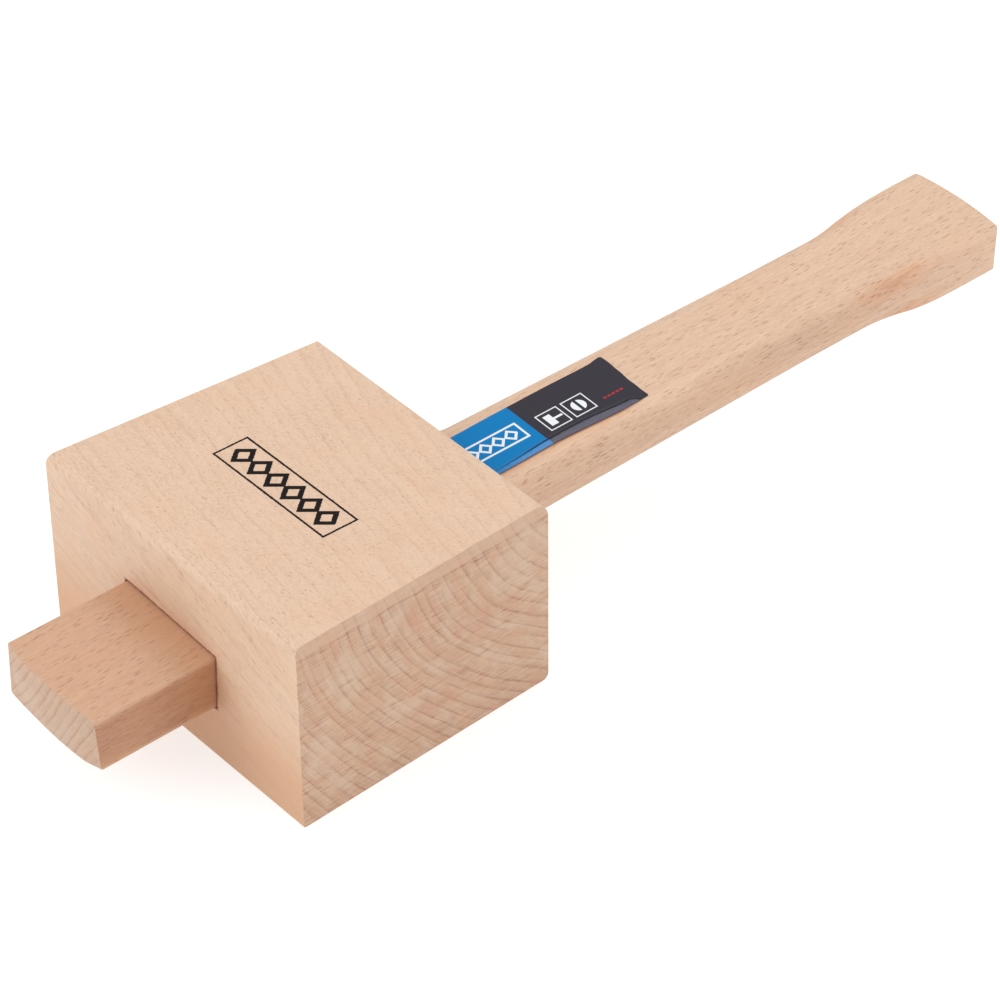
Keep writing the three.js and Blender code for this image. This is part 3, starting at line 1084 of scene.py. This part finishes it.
def assign(piece, sides, ends, grain_axis):
    """Side and end grain: a face is end grain where its normal lies along the grain."""
    piece.data.materials.append(sides.material)
    piece.data.materials.append(ends.material)
    for polygon in piece.data.polygons:
        if abs(polygon.normal[grain_axis]) > END_GRAIN_FROM:
            polygon.material_index = 1


# ------------------------------------------------------------------ pieces

head = head_piece()
assign(head, wood("beech_head_side", HEAD_TIMBER, HEAD_SIDE, overlay=head_overlay),
       wood("beech_head_end", HEAD_TIMBER, HEAD_END, head_end_tone, head_end_overlay), 0)
head.data.materials.append(mortise_wall().material)
to_mortise = handle_matrix().inverted()
wall_x, wall_z = STUB_WIDTH / 2 + WALL_REACH, STUB_THICKNESS / 2 + WALL_REACH
for polygon in head.data.polygons:
    middle = (to_mortise @ polygon.center) / MM
    within = abs(middle.x) < wall_x and abs(middle.z) < wall_z
    if within and abs(polygon.normal.y) < 0.5:
        polygon.material_index = 2
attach(head, "head")
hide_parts("head")

handle = handle_piece()
assign(handle, wood("beech_handle_side", HANDLE_TIMBER, HANDLE_SIDE, handle_tone, handle_overlay),
       wood("beech_handle_end", HANDLE_END_TIMBER, HANDLE_END), 1)
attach(handle, "handle")
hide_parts("handle")

label = label_piece()
label.data.materials.append(film().material)
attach(label, "handle")
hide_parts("label")


# ------------------------------------------------------------------ floor, light and camera

FLOOR_HALF = 3.0                          # metres
FLOOR_DROP = 0.1                          # below the head, so that the two never touch
floor = link("floor", mesh_from("floor", [
    (-FLOOR_HALF / MM, -FLOOR_HALF / MM, 0), (FLOOR_HALF / MM, -FLOOR_HALF / MM, 0),
    (FLOOR_HALF / MM, FLOOR_HALF / MM, 0), (-FLOOR_HALF / MM, FLOOR_HALF / MM, 0),
], [(0, 1, 2, 3)]))
floor.location.z = -FLOOR_DROP * MM
paper = bpy.data.materials.new("pale_floor")
paper.use_nodes = True
paper_surface = paper.node_tree.nodes["Principled BSDF"]
paper_surface.inputs["Base Color"].default_value = (0.50, 0.50, 0.50, 1)
paper_surface.inputs["Roughness"].default_value = 1.0
paper_surface.inputs["Specular IOR Level"].default_value = 0.0
paper_surface.inputs["Emission Color"].default_value = (1, 1, 1, 1)
paper_surface.inputs["Emission Strength"].default_value = 0.64
floor.data.materials.append(paper)

world = bpy.data.worlds.new("studio")
bpy.context.scene.world = world
world.use_nodes = True
world.node_tree.nodes["Background"].inputs["Color"].default_value = (1, 1, 1, 1)
world.node_tree.nodes["Background"].inputs["Strength"].default_value = 0.8


def softbox(name, direction, distance, size, power):
    light = bpy.data.lights.new(name, "AREA")
    light.shape = "SQUARE"
    light.size = size
    light.energy = power
    lamp = bpy.data.objects.new(name, light)
    bpy.context.scene.collection.objects.link(lamp)
    lamp.location = Vector(direction).normalized() * distance
    lamp.rotation_mode = "QUATERNION"
    lamp.rotation_quaternion = (-lamp.location).to_track_quat("-Z", "Y")


softbox("left_softbox", (-0.6, -1.0, 0.9), 2.0, 1.4, 15.0)
softbox("right_softbox", (1.2, 0.7, 0.9), 2.0, 1.4, 10.0)
softbox("overhead_softbox", (-0.22, 0.45, 0.87), 2.0, 0.55, 5.0)

camera_data = bpy.data.cameras.new("camera")
camera_data.lens = 146.357
camera_data.sensor_width = 36.0
camera_data.clip_start, camera_data.clip_end = 0.05, 20.0
camera = bpy.data.objects.new("camera", camera_data)
bpy.context.scene.collection.objects.link(camera)
CAMERA_PLACE = Vector((695.66, -505.86, 709.90)) * MM
CAMERA_AIM = Vector((-0.40, 68.90, 19.15)) * MM
CAMERA_ROLL = math.radians(0.622)
camera.location = CAMERA_PLACE
camera.rotation_mode = "QUATERNION"
level = (CAMERA_AIM - CAMERA_PLACE).to_track_quat("-Z", "Y")
camera.rotation_quaternion = level @ Quaternion((0, 0, -1), CAMERA_ROLL)
bpy.context.scene.camera = camera
bpy.context.scene.view_settings.view_transform = "Standard"
